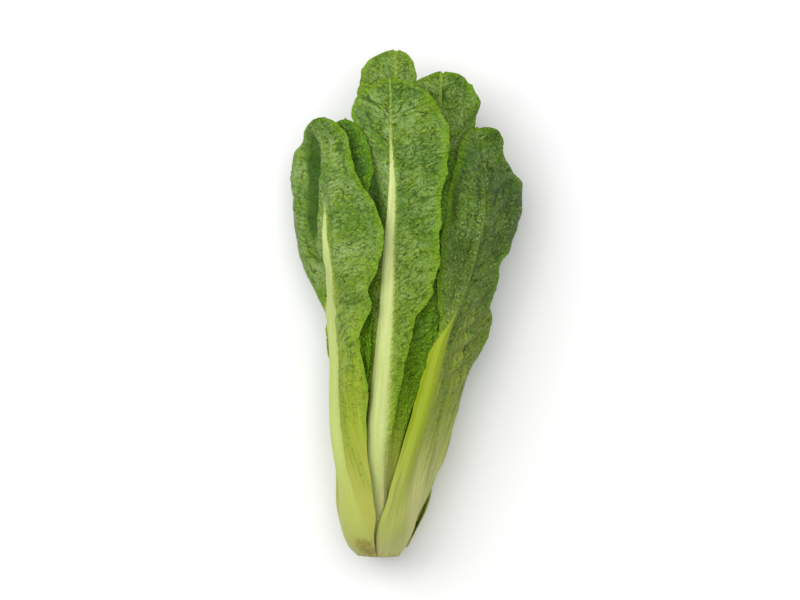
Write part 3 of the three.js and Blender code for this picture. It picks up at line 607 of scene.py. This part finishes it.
def leaf_material(name, blade, deep, crease, warm, bloom_and_glint, margin_with_glow, lime, straw, rib, base, bubbly):
    """Fresh lettuce leaf: wet green tissue under a thin waxy skin, so it shines softly, and blisters break up
    the shine. Ribs and stalks hold little green. Shade is painted as deeper green into the wrinkles, creases
    and hollows, glints and sheen in part as a pale bloom on the raised skin, and light shining through the
    thin margin as brighter green."""
    material, add = new_material(name)
    field = {key: add("ShaderNodeAttribute", attribute_name=key).outputs["Fac"]
             for key in ("rib", "pale", "height", "edge", "crease", "beside", "bruise")}
    place = add("ShaderNodeTexCoord").outputs["Object"]
    skin = add("ShaderNodeUVMap", uv_map="leaf_mm")

    # patches 22 mm and 4 mm across, of deeper and of yellower green
    broad = add("ShaderNodeTexNoise", {"Vector": place, "Scale": 1 / 0.022, "Detail": 3.0})
    patch = add("ShaderNodeMapRange", {"Value": broad, "From Min": 0.38, "From Max": 0.62},
                interpolation_type="SMOOTHSTEP")
    body = add("ShaderNodeMix", {FACTOR: patch, FIRST: colour(deep), SECOND: colour(blade)}, data_type="RGBA")
    mottle = add("ShaderNodeTexNoise", {
        "Vector": place, "Scale": 1 / 0.004, "Detail": 4.0, "Roughness": 0.65})
    fleck = add("ShaderNodeMapRange", {"Value": mottle, "From Min": 0.48, "From Max": 0.66, "To Max": 0.75})

    # yellower towards the stalk
    low = add("ShaderNodeMapRange", {
        "Value": field["height"], "From Min": 0.7, "From Max": 2.2, "To Min": 0.75, "To Max": 0.0})

    # waxy bloom over the raised skin, partly the leaf's own wax and partly painted glints and sheen, and
    # little of it by the stalk, in clouds of 9 mm and specks of 1.5 mm, which are coarser than real ones so
    # that they show
    specks = add("ShaderNodeTexNoise", {
        "Vector": place, "Scale": 1 / 0.0015, "Detail": 2.0, "Roughness": 0.6})
    clouds = add("ShaderNodeTexNoise", {"Vector": place, "Scale": 1 / 0.009, "Detail": 3.0})
    dusty = add("ShaderNodeMath", {0: specks, 1: 1.1, 2: clouds}, operation="MULTIPLY_ADD")
    bloom_and_glint_share = add("ShaderNodeMapRange", {"Value": dusty, "From Min": 0.8, "From Max": 1.3, "To Max": 0.85})
    raised = add("ShaderNodeMapRange", {
        "Value": field["crease"], "From Min": 0.2, "From Max": 0.9, "To Min": 1.0, "To Max": 0.45})
    beside = add("ShaderNodeMath", {0: field["beside"], 1: 0.8}, operation="MULTIPLY")
    aloft = add("ShaderNodeMapRange", {
        "Value": field["height"], "From Min": 0.8, "From Max": 2.0, "To Min": 0.15, "To Max": 1.0})
    dull = add("ShaderNodeMapRange", {"Value": patch, "To Min": 0.6, "To Max": 1.1})
    for part, how in ((raised, "MULTIPLY"), (beside, "MAXIMUM"), (aloft, "MULTIPLY"), (dull, "MULTIPLY")):
        bloom_and_glint_share = add("ShaderNodeMath", {0: bloom_and_glint_share, 1: part}, operation=how)

    # wrinkles about 1 mm wide and 5 mm apart, mostly across the rib, and a finer net between them: painted
    # shade, as deeper green, like the skin's creases and hollows
    stretch = add("ShaderNodeMapping", {"Vector": skin, "Scale": (1 / 4.5, 1 / 2.8, 1.0)})
    rough = add("ShaderNodeTexNoise", {
        "Vector": stretch, "Scale": 1.0, "Detail": 3.0, "Roughness": 0.6, "Distortion": 0.3})
    level = add("ShaderNodeMath", {0: rough, 1: 0.5}, operation="SUBTRACT")
    off_line = add("ShaderNodeMath", {0: level}, operation="ABSOLUTE")
    line = add("ShaderNodeMapRange", {"Value": off_line, "From Max": 0.036, "To Min": 1.0, "To Max": 0.0},
               interpolation_type="SMOOTHSTEP")
    net = add("ShaderNodeTexVoronoi", {"Vector": place, "Scale": 1 / 0.0024, "Randomness": 1.0},
              feature="DISTANCE_TO_EDGE")
    mesh = add("ShaderNodeMapRange", {"Value": net, "From Max": 0.16, "To Min": 0.4 * bubbly, "To Max": 0.0},
               interpolation_type="SMOOTHSTEP")
    thin = add("ShaderNodeMapRange", {
        "Value": mottle, "From Min": 0.4, "From Max": 0.6, "To Min": 0.1, "To Max": 0.9})
    line = add("ShaderNodeMath", {0: line, 1: thin}, operation="MULTIPLY")
    line = add("ShaderNodeMath", {0: line, 1: mesh}, operation="MAXIMUM")
    # painted shade: deeper green where the skin lies deep in a crease or a hollow
    hollow = add("ShaderNodeMapRange", {
        "Value": field["crease"], "From Min": 0.4, "From Max": 1.0, "To Max": 0.85})
    painted_crease_shade = add("ShaderNodeMath", {0: line, 1: hollow}, operation="MAXIMUM")
    # the thin margin in brighter green: partly its own colour and partly painted light shining through it
    margin_glow = add("ShaderNodeMapRange", {
        "Value": field["edge"], "From Min": 1.2, "From Max": 3.6, "To Min": 0.7, "To Max": 0.0})

    # stalk: lengthwise streaks of lime and straw, 1.4 mm and 6 mm apart, and straw alone near the butt
    streaked = add("ShaderNodeMapping", {"Vector": skin, "Scale": (1 / 1.4, 1 / 30, 1.0)})
    streak = add("ShaderNodeTexNoise", {"Vector": streaked, "Scale": 1.0, "Detail": 3.0})
    banded = add("ShaderNodeMapping", {"Vector": skin, "Scale": (1 / 6, 1 / 80, 1.0)})
    band = add("ShaderNodeTexNoise", {"Vector": banded, "Scale": 1.0, "Detail": 2.0})
    grain = add("ShaderNodeMath", {0: streak, 1: band}, operation="ADD")
    wander = add("ShaderNodeMath", {0: grain, 1: 0.22, 2: field["height"]}, operation="MULTIPLY_ADD")
    dry = add("ShaderNodeMapRange", {
        "Value": wander, "From Min": 0.4, "From Max": 1.2, "To Min": 1.0, "To Max": 0.0},
        interpolation_type="SMOOTHSTEP")
    across = add("ShaderNodeMapRange", {
        "Value": band, "From Min": 0.3, "From Max": 0.7, "To Min": -0.2, "To Max": 0.2})
    dry = add("ShaderNodeMath", {0: dry, 1: across}, operation="ADD", use_clamp=True)
    stalk = add("ShaderNodeMix", {FACTOR: dry, FIRST: colour(lime), SECOND: colour(straw)}, data_type="RGBA")
    cloudy = add("ShaderNodeMapRange", {"Value": mottle, "From Min": 0.3, "From Max": 0.7, "To Max": 0.25})
    stalk = add("ShaderNodeMix", {FACTOR: cloudy, FIRST: stalk, SECOND: colour(base)}, data_type="RGBA")
    uneven = add("ShaderNodeMath", {0: grain, 1: 1.1, 2: field["pale"]}, operation="MULTIPLY_ADD")
    pale = add("ShaderNodeMapRange", {"Value": uneven, "From Min": 1.18, "From Max": 1.9})
    started = add("ShaderNodeMapRange", {"Value": field["pale"], "From Max": 0.15})
    pale = add("ShaderNodeMath", {0: pale, 1: started}, operation="MULTIPLY")
    ragged = add("ShaderNodeMath", {0: specks, 1: 0.3, 2: field["rib"]}, operation="MULTIPLY_ADD")
    flank = add("ShaderNodeMapRange", {"Value": ragged, "From Min": 0.2, "From Max": 0.7, "To Max": 0.85})

    # rib: whitish where its skin is thick, streaked lengthwise
    light = add("ShaderNodeMapRange", {"Value": streak, "From Min": 0.34, "From Max": 0.7, "To Max": 0.4})
    dried = add("ShaderNodeMath", {0: dry, 1: 0.7}, operation="MULTIPLY")
    light = add("ShaderNodeMath", {0: light, 1: dried}, operation="MAXIMUM")
    rib_tone = add("ShaderNodeMix", {FACTOR: light, FIRST: colour(rib), SECOND: stalk}, data_type="RGBA")
    sappy = add("ShaderNodeMapRange", {
        "Value": field["height"], "From Min": 1.1, "From Max": 1.8, "To Min": 0.25, "To Max": 0.0})
    rib_tone = add("ShaderNodeMix", {FACTOR: sappy, FIRST: rib_tone, SECOND: colour(lime)}, data_type="RGBA")
    rib_share = add("ShaderNodeMapRange", {"Value": ragged, "From Min": 0.5, "From Max": 1.05},
                    interpolation_type="SMOOTHSTEP")
    butt = add("ShaderNodeMapRange", {
        "Value": wander, "From Min": 0.1, "From Max": 0.44, "To Min": 0.8, "To Max": 0.0},
        interpolation_type="SMOOTHSTEP")

    # bruise: the sap dries rusty where the base was cut and where it was pressed
    strands = add("ShaderNodeMath", {0: streak, 1: specks}, operation="ADD")
    rusted = add("ShaderNodeMath", {0: strands, 1: 1.9, 2: field["bruise"]}, operation="MULTIPLY_ADD")
    rust = add("ShaderNodeMapRange", {"Value": rusted, "From Min": 2.15, "From Max": 3.1, "To Max": 0.75})
    bruised = add("ShaderNodeMapRange", {"Value": field["bruise"], "From Min": 0.05, "From Max": 0.4})
    rust = add("ShaderNodeMath", {0: rust, 1: bruised}, operation="MULTIPLY")

    # all of them laid over the blade's patches, the lowest first
    layers = [(fleck, colour(warm)), (low, colour(warm)), (bloom_and_glint_share, colour(bloom_and_glint)), (painted_crease_shade, colour(crease)),
              (margin_glow, colour(margin_with_glow)), (flank, colour(lime)), (pale, stalk), (rib_share, rib_tone),
              (butt, colour(base)), (rust, colour(RUSTY_SAP))]
    for share, tone in layers:
        body = add("ShaderNodeMix", {FACTOR: share, FIRST: body, SECOND: tone}, data_type="RGBA")

    # skin: wrinkles up to 0.7 mm deep on the blade, and a grain of 1 mm over blade and rib alike, which is
    # coarser than the real one so that it shows
    fine = add("ShaderNodeTexNoise", {"Vector": place, "Scale": 1 / 0.001, "Detail": 2.0})
    dome = add("ShaderNodeMapRange", {"Value": net, "From Max": 0.4, "To Max": bubbly},
               interpolation_type="SMOOTHSTEP")
    dome = add("ShaderNodeMath", {0: dome, 1: line}, operation="SUBTRACT")
    stiff = add("ShaderNodeMath", {0: pale, 1: rib_share}, operation="MAXIMUM")
    on_blade = add("ShaderNodeMath", {0: 1.0, 1: stiff}, operation="SUBTRACT")
    dome = add("ShaderNodeMath", {0: dome, 1: on_blade}, operation="MULTIPLY")
    ridged = add("ShaderNodeMath", {0: streak, 1: stiff}, operation="MULTIPLY")
    dome = add("ShaderNodeMath", {0: ridged, 1: 0.5, 2: dome}, operation="MULTIPLY_ADD")
    height = add("ShaderNodeMath", {0: fine, 1: 0.45, 2: dome}, operation="MULTIPLY_ADD")
    bump = add("ShaderNodeBump", {"Height": height, "Strength": 1.0, "Distance": 0.0007})
    gloss = add("ShaderNodeMapRange", {
        "Value": mottle, "From Min": 0.35, "From Max": 0.65, "To Min": 0.36, "To Max": 0.56})
    shader = add("ShaderNodeBsdfPrincipled", {
        "Base Color": body, "Roughness": gloss, "IOR": 1.4, "Normal": bump, "Specular IOR Level": 0.25,
        "Subsurface Weight": 0.1, "Subsurface Radius": (0.5, 1.0, 0.15), "Subsurface Scale": 0.001})
    add("ShaderNodeOutputMaterial", {"Surface": shader})
    return material


# blade and deep: patches of the blade; warm: its flecks; crease: the shade painted into its wrinkles and
# hollows;
# bloom_and_glint: its wax, with painted glints and sheen; margin_with_glow: its rim, with painted light
# shining through; lime and straw: the stalk's streaks; rib: the midrib; base: the butt; bubbly: how strongly
# the skin domes between its finest wrinkles.
OUTER_TONES = dict(blade="6b8c14", deep="47700a", crease="264805", warm="7b9814", bloom_and_glint="8aa462",
                   margin_with_glow="719a06", lime="97ab1c", straw="a6a852", rib="bfce80", base="a29c5c", bubbly=0.4)
LEFT_TONES = OUTER_TONES | dict(blade="7b9d1a", deep="4f790e", crease="2a5200", warm="84a212",
                                bloom_and_glint="9db376", lime="9aad1c", straw="adb04e", rib="c4d28c", base="a5a054")
TOP_TONES = OUTER_TONES | dict(blade="6f9216", deep="49730a", warm="809d10", bloom_and_glint="92ac6c", lime="94aa36",
                               straw="c2c37e", rib="d4de98")
# the right leaf: a greener rib, and deeper greens that are partly its own and partly painted shade, as it
# faces away from the light
GREEN_RIB_TONES = OUTER_TONES | dict(blade="608810", deep="365d07", crease="193b02", warm="8a9c3c",
                                     bloom_and_glint="829f60", margin_with_glow="69920c", rib="97a81e", lime="8fa41e",
                                     straw="c4c47c", base="c4c08c", bubbly=0.7)
# darker, more saturated greens for the leaves that lie in the shade of others: painted shade
SHADED_TONES = OUTER_TONES | dict(blade="588808", deep="366404", crease="183602", warm="7fa804",
                                  bloom_and_glint="6f9648", margin_with_glow="629006", bubbly=0.7)
YOUNG_TONES = OUTER_TONES | dict(blade="6f8f1a", deep="507412", crease="30520a", warm="84a022",
                                 bloom_and_glint="8ba662", margin_with_glow="7a9c18")
HEART_TONES = dict(blade="a9bd55", deep="8fa845", crease="6f8a30", warm="bccb68", bloom_and_glint="ccd890",
                   margin_with_glow="b0c257", lime="c3cf76", straw="cfd394", rib="dedfb2", base="d2cf9f", bubbly=0.6)

leaf_skins = {
    "outer": leaf_material("lettuce_leaf_outer", **OUTER_TONES),
    "left": leaf_material("lettuce_leaf_outer_with_wide_rib", **LEFT_TONES),
    "top": leaf_material("lettuce_leaf_outer_with_pale_rib", **TOP_TONES),
    "green-ribbed": leaf_material("lettuce_leaf_outer_with_green_rib", **GREEN_RIB_TONES),
    "shaded": leaf_material("lettuce_leaf_darkened_by_painted_shade", **SHADED_TONES),
    "young": leaf_material("lettuce_leaf_young", **YOUNG_TONES),
    "heart": leaf_material("lettuce_leaf_heart", **HEART_TONES),
}
SKIN_OF = {"outer_leaf_left": "left", "outer_leaf_top": "top", "outer_leaf_right": "green-ribbed",
           "middle_leaf": "shaded", "left_back_leaf": "shaded", "top_back_leaf": "young"}

# Rows and columns of each leaf's faces: fine where it lies open, coarser where others hide it.
DIVISIONS = {"outer_leaf_left": (440, 72), "outer_leaf_top": (500, 72), "outer_leaf_right": (440, 76),
             "middle_leaf": (300, 44), "top_back_leaf": (260, 40), "right_back_leaf": (260, 40),
             "left_back_leaf": (240, 28)}
SIDE_DIVISIONS, HIDDEN_DIVISIONS = (160, 28), (100, 16)

for name in LEAVES:
    inside = name.startswith(("heart", "inner"))
    around = name.startswith(("outer", "side", "under"))
    blade = leaf_mesh(name, *DIVISIONS.get(name, SIDE_DIVISIONS if around else HIDDEN_DIVISIONS))
    blade.data.materials.append(leaf_skins["heart" if inside else SKIN_OF.get(name, "outer")])
    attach(blade, "root")
    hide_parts(name)


# ------------------------------------------------------------------ stem
CUT_FACE_DISH = 0.5
POINTS_ROUND, RINGS_ON_FACE, RINGS_ON_TAPER = 72, 12, 40
BUNDLES = 22  # strands of the stem that end in the cut face
BUNDLE_RING = 0.68  # radius of their ring, as a share of the cut face's
STRAND_RADIUS, STRAND_STRAY = 0.00055, 0.0007  # metres
PITH, OLD_PITH, DRIED_PITH = "d3cfa0", "c0b47a", "9a7b45"
STRAND_MIDDLE, STRAND_RIM = "a58a55", "86683a"


def stem_mesh():
    """The stem: its cut face, a little dished, and the taper that the leaves grow from."""
    angle = np.linspace(0, 2 * np.pi, POINTS_ROUND, endpoint=False)
    shares = np.linspace(0.08, 1, RINGS_ON_FACE)
    rings = [(0.0, share * CUT_FACE_RADIUS, CUT_FACE_DISH * (1 - share ** 2)) for share in shares]
    rings += [(y, float(through(CORE_RADIUS, y)), 0.0) for y in np.linspace(1.2, CORE_LENGTH, RINGS_ON_TAPER)]
    wobble = 1 + 0.02 * np.sin(5 * angle + 1) + 0.012 * np.sin(11 * angle)
    points = [np.stack([through(AXIS_X, y) + radius * wobble * np.cos(angle),
                        np.full(len(angle), y + dish - HEAD_LENGTH / 2),
                        through(AXIS_Z, y) + radius * wobble * np.sin(angle)], 1)
              for y, radius, dish in rings]
    ring = np.arange(len(rings) * len(angle)).reshape(len(rings), -1)
    after = np.roll(ring, -1, 1)
    faces = np.stack([ring[:-1], ring[1:], after[1:], after[:-1]], -1).reshape(-1, 4).tolist()
    faces += [ring[0].tolist(), ring[-1][::-1].tolist()]
    cut = np.repeat([1.0 if y == 0 else 0.0 for y, _, _ in rings], len(angle))
    return mesh_piece("stem_and_cut_face", np.concatenate(points), faces, {"cut": cut})


def stem_material():
    """Cut lettuce stem: moist pale pith, cut across and dried, so it is matt, cloudy and rusty in places."""
    material, add = new_material("lettuce_stem")
    place = add("ShaderNodeTexCoord").outputs["Object"]
    cut = add("ShaderNodeAttribute", attribute_name="cut").outputs["Fac"]

    # clouds of 6 mm in the pith, which has dried rusty in them on the cut face alone
    cloudy = add("ShaderNodeTexNoise", {
        "Vector": place, "Scale": 1 / 0.006, "Detail": 5.0, "Roughness": 0.65})
    soft = add("ShaderNodeMapRange", {"Value": cloudy, "From Min": 0.35, "From Max": 0.7})
    pith = add("ShaderNodeMix", {FACTOR: soft, FIRST: colour(PITH), SECOND: colour(OLD_PITH)},
               data_type="RGBA")
    dried = add("ShaderNodeMapRange", {"Value": cloudy, "From Min": 0.48, "From Max": 0.66, "To Max": 0.8})
    rusty = add("ShaderNodeMath", {0: dried, 1: cut}, operation="MULTIPLY")
    body = add("ShaderNodeMix", {FACTOR: rusty, FIRST: pith, SECOND: colour(DRIED_PITH)}, data_type="RGBA")
    bump = add("ShaderNodeBump", {"Height": cloudy, "Strength": 0.5, "Distance": 0.001})
    shader = add("ShaderNodeBsdfPrincipled", {
        "Base Color": body, "Roughness": 0.55, "IOR": 1.4, "Normal": bump})
    add("ShaderNodeOutputMaterial", {"Surface": shader})
    return material


def bundle_material():
    """Ends of the stem's strands: woody, dried brown, and matt, each with a lighter middle."""
    material, add = new_material("lettuce_strand_ends")
    place = add("ShaderNodeTexCoord").outputs["Object"]

    # specks of 0.9 mm, about the width of one strand
    speck = add("ShaderNodeTexNoise", {"Vector": place, "Scale": 1 / 0.0009, "Detail": 2.0})
    share = add("ShaderNodeMapRange", {"Value": speck, "From Min": 0.4, "From Max": 0.62})
    tones = {FIRST: colour(STRAND_MIDDLE), SECOND: colour(STRAND_RIM)}
    body = add("ShaderNodeMix", {FACTOR: share} | tones, data_type="RGBA")
    shader = add("ShaderNodeBsdfPrincipled", {"Base Color": body, "Roughness": 0.6})
    add("ShaderNodeOutputMaterial", {"Surface": shader})
    return material


def bundle_tree(material):
    """Geometry nodes: small oval strand ends in an uneven ring on the cut face, in metres."""
    tree = bpy.data.node_groups.new("strand_ends_in_cut_face", "GeometryNodeTree")
    tree.interface.new_socket("Geometry", in_out="OUTPUT", socket_type="NodeSocketGeometry")
    for label, kind in (("Count", "Int"), ("Ring Radius", "Float"), ("Strand Radius", "Float"),
                        ("Unevenness", "Float"), ("Middle", "Vector"), ("Seed", "Int")):
        tree.interface.new_socket(label, in_out="INPUT", socket_type="NodeSocket" + kind)
    add = partial(node, tree)
    sizes = add("NodeGroupInput").outputs
    ring = add("GeometryNodeMeshCircle", {"Vertices": sizes["Count"], "Radius": sizes["Ring Radius"]})
    below = add("ShaderNodeMath", {0: sizes["Unevenness"], 1: -1.0}, operation="MULTIPLY")
    low = add("ShaderNodeCombineXYZ", {"X": below, "Y": below})
    high = add("ShaderNodeCombineXYZ", {"X": sizes["Unevenness"], "Y": sizes["Unevenness"]})
    stray = add("FunctionNodeRandomValue", {0: low, 1: high, "Seed": sizes["Seed"]}, data_type="FLOAT_VECTOR")
    strewn = add("GeometryNodeSetPosition", {"Geometry": ring, "Offset": stray})
    end = add("GeometryNodeMeshIcoSphere", {"Radius": sizes["Strand Radius"], "Subdivisions": 2})
    growth = add("FunctionNodeRandomValue", {2: 0.6, 3: 1.25, "Seed": sizes["Seed"]}, data_type="FLOAT")
    ends = add("GeometryNodeInstanceOnPoints", {"Points": strewn, "Instance": end, "Scale": growth})
    flat = add("GeometryNodeTransform", {"Geometry": ends, "Translation": sizes["Middle"],
                                         "Rotation": (np.pi / 2, 0, 0), "Scale": (1.0, 1.0, 0.35)})
    real = add("GeometryNodeRealizeInstances", {"Geometry": flat})
    painted = add("GeometryNodeSetMaterial", {"Geometry": real, "Material": material})
    add("NodeGroupOutput", {"Geometry": painted})
    return tree


def strand_ends():
    """The strand ends as a plain mesh, made by the tree and then freed from it."""
    holder = mesh_piece("strand_ends", np.zeros((0, 3)), [])
    maker = holder.modifiers.new("strand ends", "NODES")
    maker.node_group = bundle_tree(bundle_material())
    across, up = float(through(AXIS_X, 0)), float(through(AXIS_Z, 0))
    middle = Vector((across, 0.25 * CUT_FACE_DISH - HEAD_LENGTH / 2, up)) / 1000
    values = {"Count": BUNDLES, "Ring Radius": BUNDLE_RING * CUT_FACE_RADIUS / 1000,
              "Strand Radius": STRAND_RADIUS, "Unevenness": STRAND_STRAY, "Middle": middle, "Seed": 4}
    for socket in maker.node_group.interface.items_tree:
        if socket.in_out == "INPUT":
            maker[socket.identifier] = values[socket.name]
    grown = bpy.data.meshes.new_from_object(holder.evaluated_get(bpy.context.evaluated_depsgraph_get()))
    holder.modifiers.remove(maker)
    holder.data = grown
    return holder


stem = stem_mesh()
stem.data.materials.append(stem_material())
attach(stem, "root")
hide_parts("stem_core")
ends = strand_ends()
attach(ends, "root")

# ------------------------------------------------------------------ floor, light and camera
VIEW_WIDTH = 0.4567  # metres that the view spans at the head's middle height
LENS, SENSOR = 135, 36  # millimetres
MIDDLE = Vector((-0.0031, 0.00305, 0.035))  # what the camera hangs over
AIM = (0, 0, 0.03)  # what the lights are turned to

floor_mesh = bpy.data.meshes.new("floor")
floor_mesh.from_pydata([(-3, -3, 0), (3, -3, 0), (3, 3, 0), (-3, 3, 0)], [], [(0, 1, 2, 3)])
floor = bpy.data.objects.new("floor", floor_mesh)
bpy.context.scene.collection.objects.link(floor)
# Matt pale paper: smooth, dry and without shine, so the head's shadow lies on it softly.
paper, add_to_paper = new_material("pale_paper_floor")
paper_shader = add_to_paper("ShaderNodeBsdfPrincipled", {"Base Color": colour("f7f7f7"), "Roughness": 0.9})
add_to_paper("ShaderNodeOutputMaterial", {"Surface": paper_shader})
floor.data.materials.append(paper)

world = bpy.data.worlds.new("studio")
world.use_nodes = True
world.node_tree.nodes["Background"].inputs["Color"].default_value = (1, 1, 1, 1)
world.node_tree.nodes["Background"].inputs["Strength"].default_value = 0.45
bpy.context.scene.world = world


def softbox(name, place, size, watts):
    """A square studio light; its place and size are in metres."""
    lamp = bpy.data.lights.new(name, "AREA")
    lamp.shape, lamp.size, lamp.energy = "SQUARE", size, watts
    box = bpy.data.objects.new(name, lamp)
    box.location = place
    box.rotation_euler = (Vector(AIM) - Vector(place)).to_track_quat("-Z", "Y").to_euler()
    bpy.context.scene.collection.objects.link(box)


softbox("softbox_left", (-0.85, 0.45, 1.3), 0.9, 11.5)
softbox("softbox_above", (0.1, 0.4, 1.9), 1.4, 18)

camera_data = bpy.data.cameras.new("camera")
camera_data.lens, camera_data.sensor_width = LENS, SENSOR
camera = bpy.data.objects.new("camera", camera_data)
camera.location = MIDDLE + Vector((0, 0, VIEW_WIDTH * LENS / SENSOR))
bpy.context.scene.collection.objects.link(camera)
bpy.context.scene.camera = camera
bpy.context.scene.view_settings.view_transform = "Standard"

bpy.context.view_layer.update()
